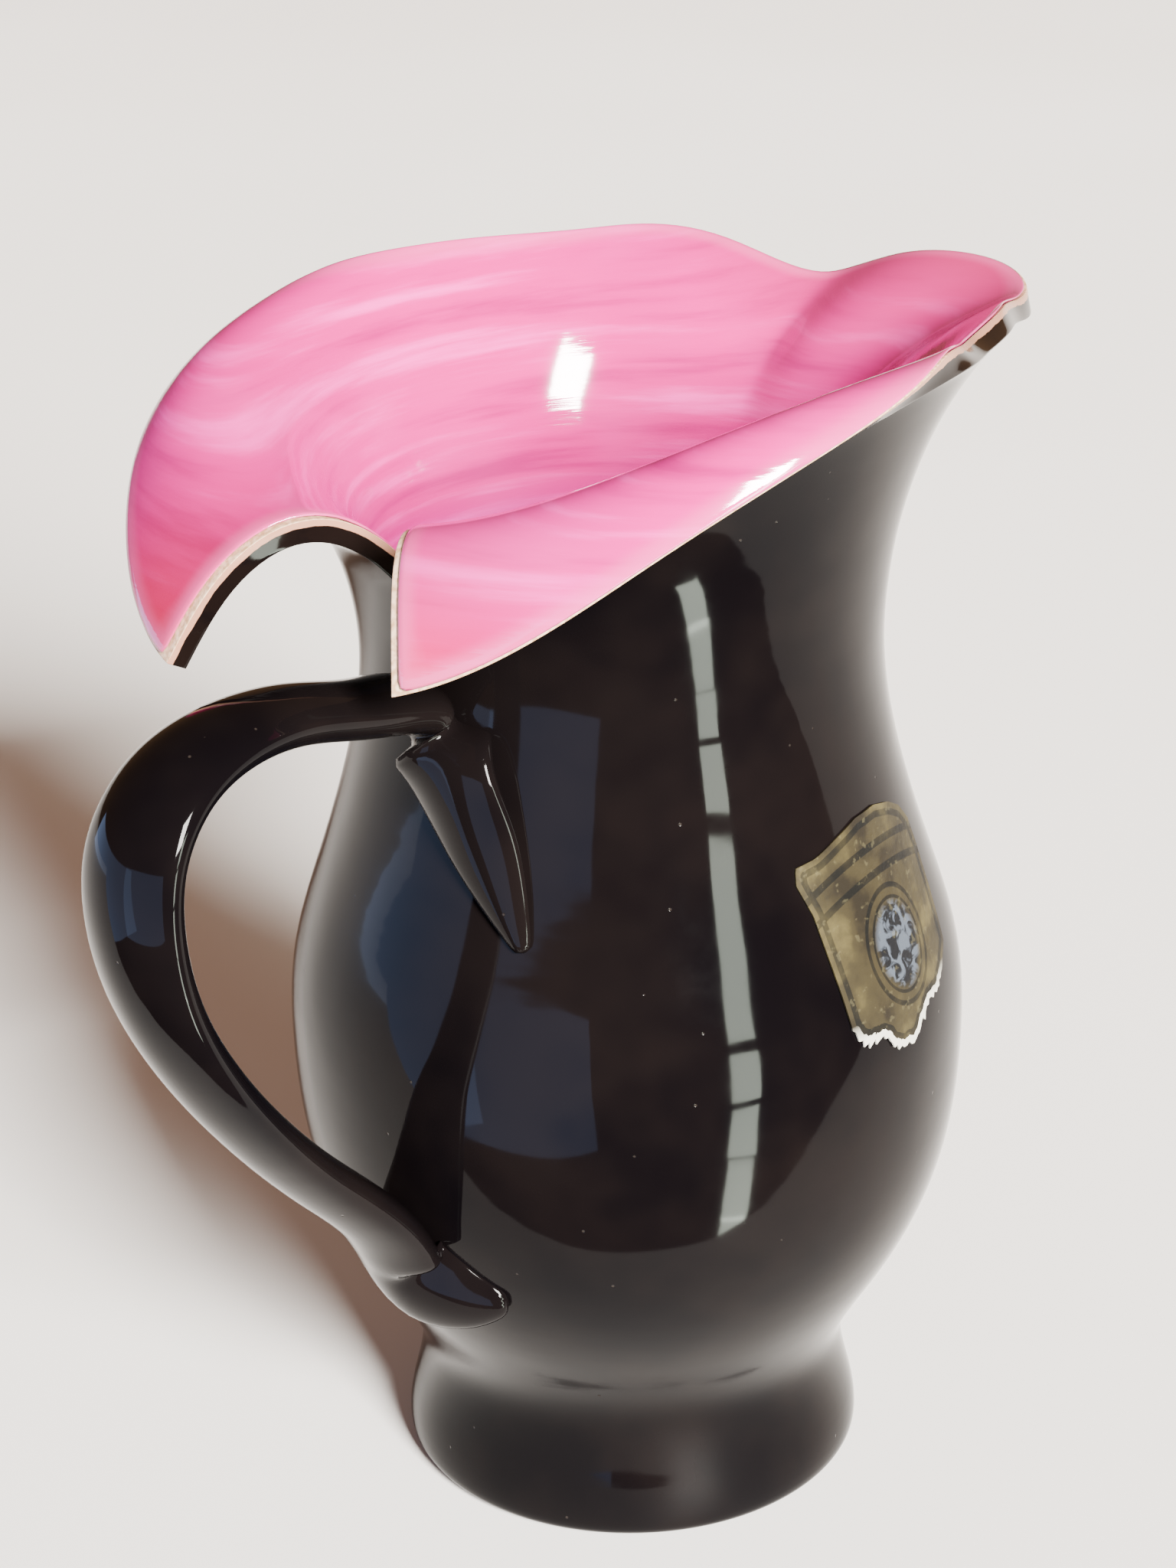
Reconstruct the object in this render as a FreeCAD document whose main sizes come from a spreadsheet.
import FreeCAD, Part
import math
import os

# A pitcher of glazed earthenware: a thrown body with a foot, a belly and a neck, whose mouth is
# drawn into two drooping lobes beside the handle and a spout opposite it, a pulled handle with a
# long tail at each end, a glaze lining and a paper label. Millimetres, Z up. The origin is the
# middle of the flat base, the spout points along +X and the handle stands along -X.

SIZES = {
    # foot
    "base_radius": 38.4,
    "toe_radius": 40.8,
    "toe_rise": 2.6,
    "waist_radius": 37.7,
    "waist_height": 20.5,
    # belly and neck
    "belly_radius": 58.2,
    "belly_height": 82.0,
    "neck_radius": 43.7,
    "neck_height": 152.0,
    "wall": 3.8,
    "floor_thickness": 7.0,
    "floor_radius": 24.0,
    # mouth
    "mouth_half_width": 60.0,
    "rim_height": 205.4,
    "spout_reach": 100.0,
    "spout_dip": 13.0,
    "near_lobe_reach": 73.0,
    "far_lobe_reach": 81.0,
    "lobe_drop": 42.0,
    "lobe_lift": 40.0,
    "neck_rise": 24.0,
    # notch between the lobes
    "notch_root_reach": 49.0,
    "notch_root_radius": 4.0,
    "notch_side_angle": 35.0,
    "notch_length": 60.0,
    # lining
    "lining": 0.6,
    "lining_seat": 0.1,
    "lining_edge": 1.4,
    # handle
    "handle_width": 20.0,
    "handle_thickness": 9.6,
    "handle_reach": 110.5,
    "handle_top": 164.0,
    "handle_foot": 55.0,
    "handle_seat": 0.15,
    # paper label
    "paper": 0.3,
    "paper_seat": 0.15,
    "label_width": 36.0,
    "label_height": 38.0,
    "label_middle": 112.0,
    "label_turn": 276.0,
    "label_tilt": 2.0,
    # how far a cutting tool runs past what it cuts
    "overrun": 12.0,
}

doc = FreeCAD.newDocument("pitcher")
sheet = doc.addObject("Spreadsheet::Sheet", "Sizes")
for row, (alias, value) in enumerate(SIZES.items(), start=1):
    sheet.set(f"A{row}", alias)
    sheet.set(f"B{row}", str(value))
    sheet.setAlias(f"B{row}", alias)
doc.recompute()

V = FreeCAD.Vector
UP = V(0, 0, 1)
AXIS = V(0, 0, 0)


def size(alias):
    """The value of one cell of the sheet."""
    return float(getattr(sheet, alias))


# The turned outside: share of the way up, share of the way out. The foot's shares run from the
# toe to the waist, the lower belly's from the waist to the belly, the upper belly's from the
# neck's radius to the belly's and from the belly's height to the neck's.
FOOT_SHARES = ((0.00, 1.00), (0.22, 0.86), (0.48, 0.46), (0.76, 0.12), (1.00, 0.00))
LOWER_BELLY_SHARES = ((0.13, 0.13), (0.32, 0.47), (0.60, 0.84), (1.00, 1.00))
UPPER_BELLY_SHARES = ((0.19, 0.95), (0.45, 0.59), (0.72, 0.20), (1.00, 0.00))
# How many bands the turned wall is made in, from the toe to the neck.
TURNED_BANDS = 12
# The foot's rounded bottom edge: share of the way out from the base to the toe, and of the rise.
TOE_SHARES = ((0.00, 0.00), (0.50, 0.13), (0.87, 0.50), (1.00, 1.00))
# The inside's rounded corner between floor and wall: share of the way out and of the way up.
CORNER_SHARES = ((0.62, 0.16), (0.92, 0.52))


def between(share, start, end):
    return start + share * (end - start)


def turned_profile():
    """Radius and height of the turned outside, from the toe to the neck."""
    points = []
    for up, out in FOOT_SHARES:
        radius = between(out, size("waist_radius"), size("toe_radius"))
        points.append((radius, between(up, size("toe_rise"), size("waist_height"))))
    for up, out in LOWER_BELLY_SHARES:
        radius = between(out, size("waist_radius"), size("belly_radius"))
        points.append((radius, between(up, size("waist_height"), size("belly_height"))))
    for up, out in UPPER_BELLY_SHARES:
        radius = between(out, size("neck_radius"), size("belly_radius"))
        points.append((radius, between(up, size("belly_height"), size("neck_height"))))
    return points


def profile_curve():
    """The turned outside as one smooth curve in the half plane X, Z."""
    curve = Part.BSplineCurve()
    curve.interpolate([V(radius, 0, height) for radius, height in turned_profile()])
    return curve


def inset_profile(inset):
    """Places up the turned wall, moved towards the axis by the inset, square to the wall."""
    curve = profile_curve()
    points = []
    for band in range(TURNED_BANDS + 1):
        parameter = between(band / TURNED_BANDS, curve.FirstParameter, curve.LastParameter)
        place, along = curve.value(parameter), curve.tangent(parameter)[0]
        points.append((place.x - inset * along.z, place.z + inset * along.x))
    points[-1] = (size("neck_radius") - inset, size("neck_height"))
    return points


def inside_profile(inset):
    """The inside of a hollow turned wall: a flat floor, a rounded corner, then the wall's inset."""
    outside = inset_profile(0.0)
    first = min(i for i, place in enumerate(outside) if place[1] > size("waist_height"))
    wall = inset_profile(inset)[first:]
    (start_radius, start_height), floor_radius = wall[0], size("floor_radius")
    floor_height = size("floor_thickness") + inset - size("wall")
    points = [(floor_radius, floor_height)]
    for out, up in CORNER_SHARES:
        points.append((between(out, floor_radius, start_radius), between(up, floor_height, start_height)))
    return points + wall


def circle(radius, height):
    """A level circle about the axis, which starts on the handle's side."""
    half_turn = 180
    return Part.makeCircle(radius, V(0, 0, height), UP, half_turn, 3 * half_turn)


def cones(places):
    """Bands of cone from each radius and height to the next."""
    return Part.makeLoft([Part.Wire([circle(*place)]) for place in places], False, True).Faces


def bands(edges):
    """Straight bands from each closed edge to the next."""
    forward = 1
    return [Part.makeRuledSurface(low, high, forward) for low, high in zip(edges, edges[1:])]


# Stations round the mouth. Each has its turn from the spout's axis in degrees, minus on the near
# side, then shares: of the spout's reach, the lobe's reach, the spout's dip, the lobe's drop, and
# of the turn of the wall: how far out from the neck it lies, and how far above the rim.
STATION_SHARES = (
    (180, 0.00, 1.13, 0.00, 1.00, 0.60, 1.00),
    (-163, 0.00, 1.00, 0.00, 0.90, 0.66, 1.00),
    (-135, 0.00, 0.49, 0.00, 0.43, 0.76, 0.68),
    (-105, 0.00, 0.32, 0.00, 0.06, 0.72, 0.30),
    (-75, 0.02, 0.00, 0.02, 0.00, 0.62, -0.08),
    (-48, 0.11, 0.00, 0.21, 0.00, 0.40, -0.28),
    (-32, 0.27, 0.00, 0.47, 0.00, 0.24, -0.22),
    (-22, 0.49, 0.00, 0.80, 0.00, 0.16, -0.18),
    (-14, 0.80, 0.00, 1.11, 0.00, 0.12, -0.16),
    (-5, 0.98, 0.00, 0.81, 0.00, 0.12, -0.16),
    (4, 0.62, 0.00, 0.87, 0.00, 0.12, -0.16),
    (12, 0.47, 0.00, 0.96, 0.00, 0.18, -0.18),
    (25, 0.36, 0.00, 0.49, 0.00, 0.26, -0.20),
    (45, 0.14, 0.00, 0.14, 0.00, 0.40, -0.24),
    (75, -0.01, 0.00, 0.01, 0.00, 0.66, -0.10),
    (105, 0.00, 0.21, 0.00, 0.15, 0.68, 0.20),
    (135, 0.00, 0.74, 0.00, 0.51, 0.58, 0.60),
    (163, 0.00, 1.00, 0.00, 1.00, 0.52, 0.98),
)
# How far up the mouth's wall the rings lie, from the neck to the rim.
LEVEL_SHARES = (0.10, 0.23, 0.36, 0.49, 0.62, 0.75, 0.88, 1.00)
# How many of the rings bound the wall that the handle is seated on.
SEAT_LEVELS = 3
# How many bands the rounded lip is made in.
LIP_BANDS = 3


def wall_curve(station):
    """Radius and height of the four control points of the mouth's wall at a station."""
    turn, spout, lobe, dip, drop, out, lift = station
    half_width = size("mouth_half_width")
    lobe_reach = size("near_lobe_reach") if turn < 0 else size("far_lobe_reach")
    if turn == 180:
        lobe_reach = between(0.5, size("near_lobe_reach"), size("far_lobe_reach"))
    radius = half_width + spout * (size("spout_reach") - half_width) + lobe * (lobe_reach - half_width)
    height = size("rim_height") - dip * size("spout_dip") - drop * size("lobe_drop")
    return (
        (size("neck_radius"), size("neck_height")),
        (size("neck_radius"), size("neck_height") + size("neck_rise")),
        (between(out, size("neck_radius"), radius), height + lift * size("lobe_lift")),
        (radius, height),
    )


def wall_point(station, level, inset, beyond):
    """A point of the mouth's wall: inset from its outside, and a distance beyond the level."""
    start, leave, turn, end = wall_curve(station)
    rest = 1 - level
    place = []
    slope = []
    for i in (0, 1):
        place.append(rest**3 * start[i] + 3 * rest**2 * level * leave[i]
                     + 3 * rest * level**2 * turn[i] + level**3 * end[i])
        slope.append(rest**2 * (leave[i] - start[i]) + 2 * rest * level * (turn[i] - leave[i])
                     + level**2 * (end[i] - turn[i]))
    length = math.hypot(slope[0], slope[1])
    outward, upward = slope[0] / length, slope[1] / length
    radius = place[0] - inset * upward + beyond * outward
    height = place[1] + inset * outward + beyond * upward
    angle = math.radians(station[0])
    return V(radius * math.cos(angle), radius * math.sin(angle), height)


def ring(level, inset, beyond):
    """A closed curve round the mouth's wall, with its stations at their turns."""
    points = [wall_point(station, level, inset, beyond) for station in STATION_SHARES]
    full_turn = 360
    turns = [(station[0] + full_turn - 180) % full_turn for station in STATION_SHARES] + [full_turn]
    curve = Part.BSplineCurve()
    curve.interpolate(Points=points, Parameters=[math.radians(turn) for turn in turns], PeriodicFlag=True)
    return curve.toShape()


def skin(profile, inset, rim_inset, levels=LEVEL_SHARES):
    """The surface up a turned profile and on up the mouth's wall, at one inset."""
    rings = [ring(level, inset, -rim_inset * level) for level in levels]
    return cones(profile) + bands([circle(*profile[-1])] + rings)


def lip(outer_inset, inner_inset, rim_inset, level=1.0):
    """The rounded lip from one skin over to the other, at the rim or at a level below it."""
    half = (inner_inset - outer_inset) / 2
    rings = []
    for band in range(LIP_BANDS + 1):
        turn = math.pi * band / LIP_BANDS
        inset = outer_inset + half * (1 - math.cos(turn))
        rings.append(ring(level, inset, half * math.sin(turn) - rim_inset))
    return bands(rings)


def disc(radius, height):
    return [Part.Face(Part.Wire([circle(radius, height)]))]


def closed_solid(faces):
    """One solid from faces that meet edge to edge."""
    joined = Part.makeCompound(faces)
    joined.sewShape(1e-3)
    solid = Part.Solid(joined.Shells[0])
    if solid.Volume < 0:
        solid.reverse()
    return solid


def toe():
    """The foot's rounded bottom edge."""
    base, side, start = size("base_radius"), size("toe_radius"), inset_profile(0.0)[0]
    rise = size("toe_rise")
    return cones([(between(out, base, side), up * rise) for out, up in TOE_SHARES[:-1]] + [start])


def pot():
    """The whole clay wall, from the foot's base to the lip, before the notch is cut."""
    wall, crest = size("wall"), size("wall") / 2
    outer, inner = inset_profile(0.0), inside_profile(wall)
    faces = disc(size("base_radius"), 0) + toe() + skin(outer, 0.0, crest)
    faces += lip(0.0, wall, crest) + skin(inner, wall, crest) + disc(*inner[0])
    return closed_solid(faces)


def glaze_coat():
    """The thin coat over the whole inside, which stops short of the lip."""
    outer_inset = size("wall") + size("lining_seat")
    inner_inset = outer_inset + size("lining")
    edge = size("wall") / 2 + size("lining_edge")
    outer, inner = inside_profile(outer_inset), inside_profile(inner_inset)
    faces = disc(*outer[0]) + skin(outer, outer_inset, edge)
    faces += lip(outer_inset, inner_inset, edge) + skin(inner, inner_inset, edge) + disc(*inner[0])
    return closed_solid(faces)


# The strap's section, as shares of its width and thickness: flat-bellied, with a soft ridge.
SECTION_SHARES = (
    (0.50, -0.06), (0.37, 0.27), (0.00, 0.50), (-0.37, 0.27),
    (-0.50, -0.06), (-0.34, -0.40), (0.00, -0.50), (0.34, -0.40),
)
# How many bands the strap is made in.
STRAP_BANDS = 26
# The loop: shares of the reach beyond the neck and of the height between its ends, then of the
# strap's width and thickness.
LOOP_SHARES = (
    (0.05, 0.895, 0.92, 0.95),
    (0.27, 0.951, 0.84, 0.94),
    (0.50, 0.986, 0.84, 0.94),
    (0.70, 0.992, 0.88, 0.96),
    (0.87, 0.958, 0.94, 1.00),
    (0.98, 0.875, 1.00, 1.00),
    (1.00, 0.775, 1.02, 1.00),
    (0.965, 0.665, 1.00, 0.98),
    (0.865, 0.535, 0.95, 0.96),
    (0.70, 0.390, 0.90, 0.94),
    (0.49, 0.245, 0.90, 0.96),
    (0.285, 0.105, 0.98, 1.00),
)
# The tails, which lie on the body: turn from the handle's plane in degrees, share of the height,
# share of the thickness by which the strap's middle stands off the body, then width and thickness.
UPPER_TAIL_SHARES = (
    (22.5, 0.570, 0.06, 0.14, 0.22),
    (18.5, 0.635, 0.12, 0.42, 0.40),
    (12.5, 0.720, 0.18, 0.70, 0.58),
    (5.5, 0.812, 0.26, 0.88, 0.80),
)
LOWER_TAIL_SHARES = (
    (0.5, 0.020, 0.22, 1.00, 0.95),
    (7.5, -0.005, 0.16, 0.82, 0.72),
    (14.0, -0.012, 0.10, 0.52, 0.46),
    (19.0, -0.010, 0.05, 0.20, 0.24),
)


def body_radius(height):
    """The turned outside's radius at a height."""
    curve = profile_curve()
    low, high = curve.FirstParameter, curve.LastParameter
    for _ in range(40):
        middle = (low + high) / 2
        if curve.value(middle).z < height:
            low = middle
        else:
            high = middle
    return curve.value(low).x


def handle_path():
    """Each station's middle, its outward direction, its width and its thickness."""
    foot, top = size("handle_foot"), size("handle_top")
    width, thickness = size("handle_width"), size("handle_thickness")
    stations = []

    def on_body(turn, up, stand, wide, thick):
        height = between(up, foot, top)
        angle = math.radians(180 + turn)
        outward = V(math.cos(angle), math.sin(angle), 0)
        middle = outward * (body_radius(height) + stand * thickness) + V(0, 0, height)
        stations.append((middle, outward, wide * width, thick * thickness))

    for share in UPPER_TAIL_SHARES:
        on_body(*share)
    loop = []
    for out, up, wide, thick in LOOP_SHARES:
        middle = V(-between(out, size("neck_radius"), size("handle_reach")), 0, between(up, foot, top))
        loop.append((middle, wide * width, thick * thickness))
    for i, (middle, wide, thick) in enumerate(loop):
        before, after = loop[max(i - 1, 0)][0], loop[min(i + 1, len(loop) - 1)][0]
        outward = (after - before).cross(V(0, -1, 0))
        stations.append((middle, outward.normalize(), wide, thick))
    for share in LOWER_TAIL_SHARES:
        on_body(*share)
    return stations


def smooth_line(points, knots):
    """One smooth curve through points at given parameters."""
    curve = Part.BSplineCurve()
    curve.interpolate(Points=points, Parameters=knots)
    return curve


def handle_solid():
    """The strap: ridged sections, set closely along one smooth path through its stations."""
    stations = handle_path()
    knots = [0.0]
    for before, after in zip(stations, stations[1:]):
        knots.append(knots[-1] + (after[0] - before[0]).Length)
    path = smooth_line([station[0] for station in stations], knots)
    facing = smooth_line([station[0] + station[1] for station in stations], knots)
    measures = smooth_line([V(station[2], station[3], knot) for station, knot in zip(stations, knots)], knots)
    wires = []
    for i in range(STRAP_BANDS + 1):
        parameter = knots[-1] * i / STRAP_BANDS
        middle, along = path.value(parameter), path.tangent(parameter)[0]
        wide, thick = measures.value(parameter).x, measures.value(parameter).y
        outward = facing.value(parameter) - middle
        face = (outward - along * outward.dot(along)).normalize()
        across = along.cross(face)
        points = [middle + across * (side * wide) + face * (rise * thick) for side, rise in SECTION_SHARES]
        curve = Part.BSplineCurve()
        count = len(points)
        curve.interpolate(Points=points, Parameters=[k / count for k in range(count + 1)], PeriodicFlag=True)
        wires.append(Part.Wire([curve.toShape()]))
    return Part.makeLoft(wires, True, True)


def grown_wall(clearance, depth):
    """The lower wall from a clearance outside it to a depth within it, to seat what lies on it."""
    levels = LEVEL_SHARES[:SEAT_LEVELS]
    outer, inner = inset_profile(-clearance), inset_profile(depth)
    faces = skin(outer, -clearance, 0.0, levels) + skin(inner, depth, 0.0, levels)
    faces += lip(-clearance, depth, 0.0, levels[-1])
    faces += cones([outer[0], inner[0]])
    return closed_solid(faces)


def seat_core():
    """The body filled up to the mouth, so that nothing of the handle is left inside it."""
    depth = size("wall") / 2
    places = inset_profile(depth)
    places.append((size("neck_radius") - depth, size("neck_height") + size("neck_rise")))
    return closed_solid(disc(*places[0]) + cones(places) + disc(*places[-1]))


# The label's outline as shares of its width and height from its middle: a banner's wavy top, two
# sides that draw in, and a worn bottom edge.
LABEL_SHARES = (
    (-0.50, 0.34), (-0.46, 0.47), (-0.30, 0.44), (-0.14, 0.50), (0.02, 0.49), (0.16, 0.44),
    (0.30, 0.47), (0.47, 0.50), (0.50, 0.36), (0.46, 0.24), (0.45, 0.00), (0.43, -0.24),
    (0.31, -0.33), (0.22, -0.38), (0.08, -0.41), (-0.04, -0.50), (-0.17, -0.49), (-0.24, -0.41),
    (-0.38, -0.40), (-0.44, -0.31), (-0.45, -0.06), (-0.46, 0.20),
)


def label_outline():
    """The label's outline as an upright face through the axis, seen from the near side."""
    width, height = size("label_width"), size("label_height")
    points = [V(side * width, 0, up * height) for side, up in LABEL_SHARES]
    return Part.Face(Part.makePolygon(points + points[:1]))


def feature(name, shape):
    """An object of the document which holds a shape made by the functions above."""
    made = doc.addObject("Part::Feature", name)
    made.Shape = shape
    made.Placement = FreeCAD.Placement()
    return made


def joined(kind, name, base, tool):
    """A boolean of two objects of the document."""
    made = doc.addObject(kind, name)
    made.Base = base
    made.Tool = tool
    return made


def notch(name, widening):
    """The upright tool that parts the two lobes: a wedge seen from above, with a rounded root."""
    radius = f"(Sizes.notch_root_radius + {widening})"
    centre = "(Sizes.notch_root_reach + Sizes.notch_root_radius)"
    low = "Sizes.neck_height - Sizes.overrun"
    rise = "Sizes.rim_height - Sizes.neck_height + 2 * Sizes.overrun"
    side = f"{radius} * cos(Sizes.notch_side_angle * 1 deg)"
    root = doc.addObject("Part::Cylinder", f"{name}_root")
    root.setExpression("Radius", radius)
    root.setExpression("Height", rise)
    root.setExpression("Placement.Base.x", f"-{centre}")
    root.setExpression("Placement.Base.z", low)
    sides = doc.addObject("Part::Wedge", f"{name}_sides")
    sides.Ymin = 0
    sides.Zmin = 0
    sides.Z2min = 0
    flare = "Sizes.notch_length * tan(Sizes.notch_side_angle * 1 deg)"
    sides.setExpression("Xmin", f"-{side}")
    sides.setExpression("Xmax", side)
    sides.setExpression("X2min", f"-{side} - {flare}")
    sides.setExpression("X2max", f"{side} + {flare}")
    sides.setExpression("Ymax", "Sizes.notch_length")
    sides.setExpression("Zmax", rise)
    sides.setExpression("Z2max", rise)
    sides.Placement = FreeCAD.Placement(AXIS, FreeCAD.Rotation(UP, 90))
    sides.setExpression("Placement.Base.x", f"{radius} * sin(Sizes.notch_side_angle * 1 deg) - {centre}")
    sides.setExpression("Placement.Base.z", low)
    both = doc.addObject("Part::MultiFuse", name)
    both.Shapes = [root, sides]
    return both


# The body: the thrown wall with its spout and lobes, less the notch.
parting = notch("notch", "0")
clay_body = joined("Part::Cut", "clay_body", feature("thrown_wall", pot()), parting)

# The handle: the strap with its two tails, seated on the body at a small clearance.
seat_wall = feature("seat_wall", grown_wall(size("handle_seat"), size("wall")))
on_wall = joined("Part::Cut", "strap_on_wall", feature("strap", handle_solid()), seat_wall)
handle = joined("Part::Cut", "handle", on_wall, feature("seat_core", seat_core()))

# The lining: a coat of glaze that follows the inside and stops short of the lip and the notch.
wide_parting = notch("lining_notch", "Sizes.lining_edge")
pink_lining = joined("Part::Cut", "pink_lining", feature("glaze_coat", glaze_coat()), wide_parting)

# The label: a sleeve of paper on the body, kept where the outline falls on it.
paper_inside = feature("paper_inside", grown_wall(size("paper_seat"), size("wall")))
paper_reach = size("paper_seat") + size("paper")
paper_outside = feature("paper_outside", grown_wall(paper_reach, size("wall") / 2))
paper = joined("Part::Cut", "paper_sleeve", paper_outside, paper_inside)
outline = feature("label_outline", label_outline())
facing = math.radians(size("label_turn"))
square = FreeCAD.Rotation(UP, size("label_turn") - 270)
tilt = FreeCAD.Rotation(V(0, 1, 0), -size("label_tilt"))
outline.Placement = FreeCAD.Placement(V(0, 0, size("label_middle")), square * tilt)
window = doc.addObject("Part::Extrusion", "label_window")
window.Base = outline
window.DirMode = "Custom"
window.Dir = V(math.cos(facing), math.sin(facing), 0)
window.Solid = True
window.setExpression("LengthFwd", "Sizes.belly_radius + Sizes.overrun")
paper_label = joined("Part::Common", "paper_label", paper, window)

doc.recompute()

PARTS = {
    "clay_body": clay_body,
    "handle": handle,
    "pink_lining": pink_lining,
    "paper_label": paper_label,
}
for made in doc.Objects:
    if "Invalid" in made.State or "Error" in made.State:
        raise RuntimeError(f"{made.Name} did not compute: {made.State}")
os.makedirs("parts", exist_ok=True)
for name, made in PARTS.items():
    made.Label = name
    shape = made.Shape
    if shape.isNull() or not shape.isValid():
        raise RuntimeError(f"{name} has no valid shape")
    if len(shape.Solids) != 1:
        raise RuntimeError(f"{name} has {len(shape.Solids)} solids")
    shape.exportStep(f"parts/{name}.step")
    box = shape.BoundBox
    print(name, round(shape.Volume), [round(v, 1) for v in (box.XMin, box.XMax, box.YMin, box.YMax)],
          [round(v, 1) for v in (box.ZMin, box.ZMax)])
